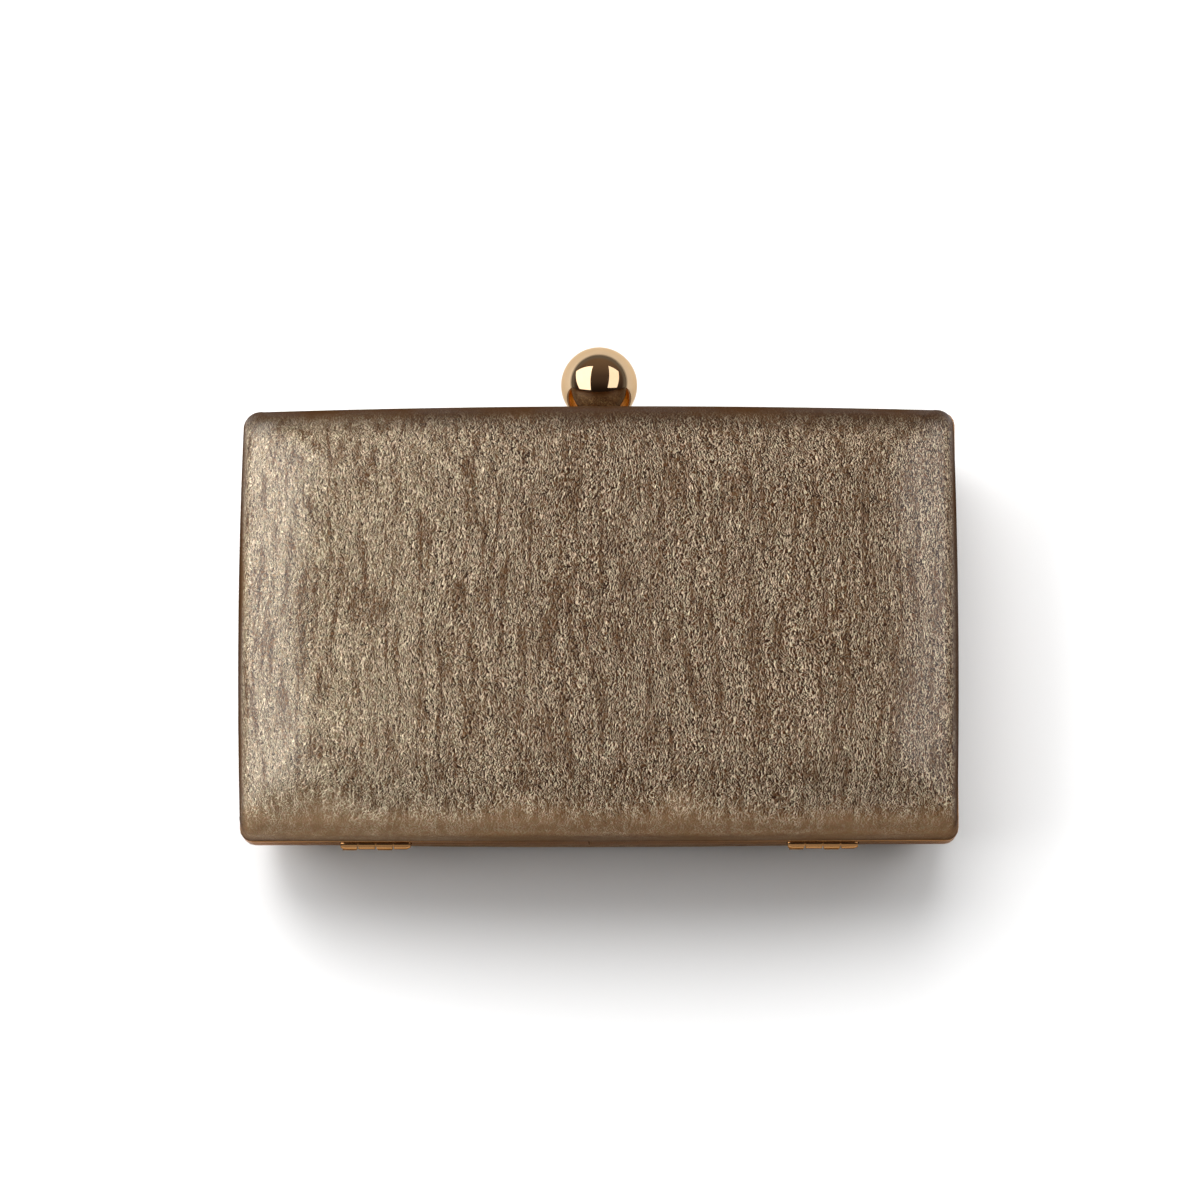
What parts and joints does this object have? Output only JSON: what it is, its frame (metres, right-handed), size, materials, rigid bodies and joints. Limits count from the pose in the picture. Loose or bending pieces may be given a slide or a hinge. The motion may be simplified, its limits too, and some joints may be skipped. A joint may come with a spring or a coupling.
{
  "type": "hard box clutch",
  "caption": "Flat evening box clutch: two leather-covered trays in gilt channel frames, hinged along the bottom and closed by a polished ball clasp on top.",
  "frame": {"origin": "middle of the flat of the back face, on which the clutch lies", "axes": "+X along the width, to the right as one looks at the front face with the clasp up; +Y from the hinges to the ball clasp; +Z out of the front face, up as it lies"},
  "size_m": [0.18, 0.1282, 0.05],
  "materials": {
    "metallic_leatherette": "bronze foil leatherette with a fine crackled grain",
    "foam": "thin upholstery foam",
    "moulded_abs": "moulded plastic shell, as it leaves the mould",
    "suedette_lining": "short-napped suedette on card",
    "gilt_steel": "pressed sheet metal with a warm gold plating",
    "gilt_ball": "mirror-polished light gold plating",
    "spring_steel": "bright drawn spring wire"
  },
  "bodies": {
    "back_half": {"back_cover": "metallic_leatherette", "back_padding": "foam", "back_shell": "moulded_abs", "back_wall_lining": "suedette_lining", "back_floor_lining": "suedette_lining", "back_frame": "gilt_steel", "left_hinge_back_leaf": "gilt_steel", "left_hinge_pin": "gilt_steel", "right_hinge_back_leaf": "gilt_steel", "right_hinge_pin": "gilt_steel", "clasp_bracket": "gilt_steel", "bracket_rivet_left": "gilt_steel", "bracket_rivet_right": "gilt_steel", "clasp_pivot_pin": "gilt_steel", "clasp_spring": "spring_steel"},
    "front_half": {"front_cover": "metallic_leatherette", "front_padding": "foam", "front_shell": "moulded_abs", "front_wall_lining": "suedette_lining", "front_floor_lining": "suedette_lining", "front_frame": "gilt_steel", "left_hinge_front_leaf": "gilt_steel", "right_hinge_front_leaf": "gilt_steel", "catch_plate": "gilt_steel", "catch_rivet_left": "gilt_steel", "catch_rivet_right": "gilt_steel"},
    "clasp": {"clasp_lever": "gilt_steel", "clasp_stem": "gilt_steel", "ball_knob": "gilt_ball"}
  },
  "joints": [
    {"name": "lid_hinge", "type": "hinge", "parent": "back_half", "child": "front_half", "pos_m": [0, -0.0544, 0.025], "axis": [1, 0, 0], "range_deg": [0, 120]},
    {"name": "clasp_tilt", "type": "hinge", "parent": "back_half", "child": "clasp", "pos_m": [0, 0.0445, 0.02265], "axis": [-1, 0, 0], "range_deg": [0, 6], "stiffness_Nm_per_rad": 0.15, "springref_deg": -11.46}
  ]
}
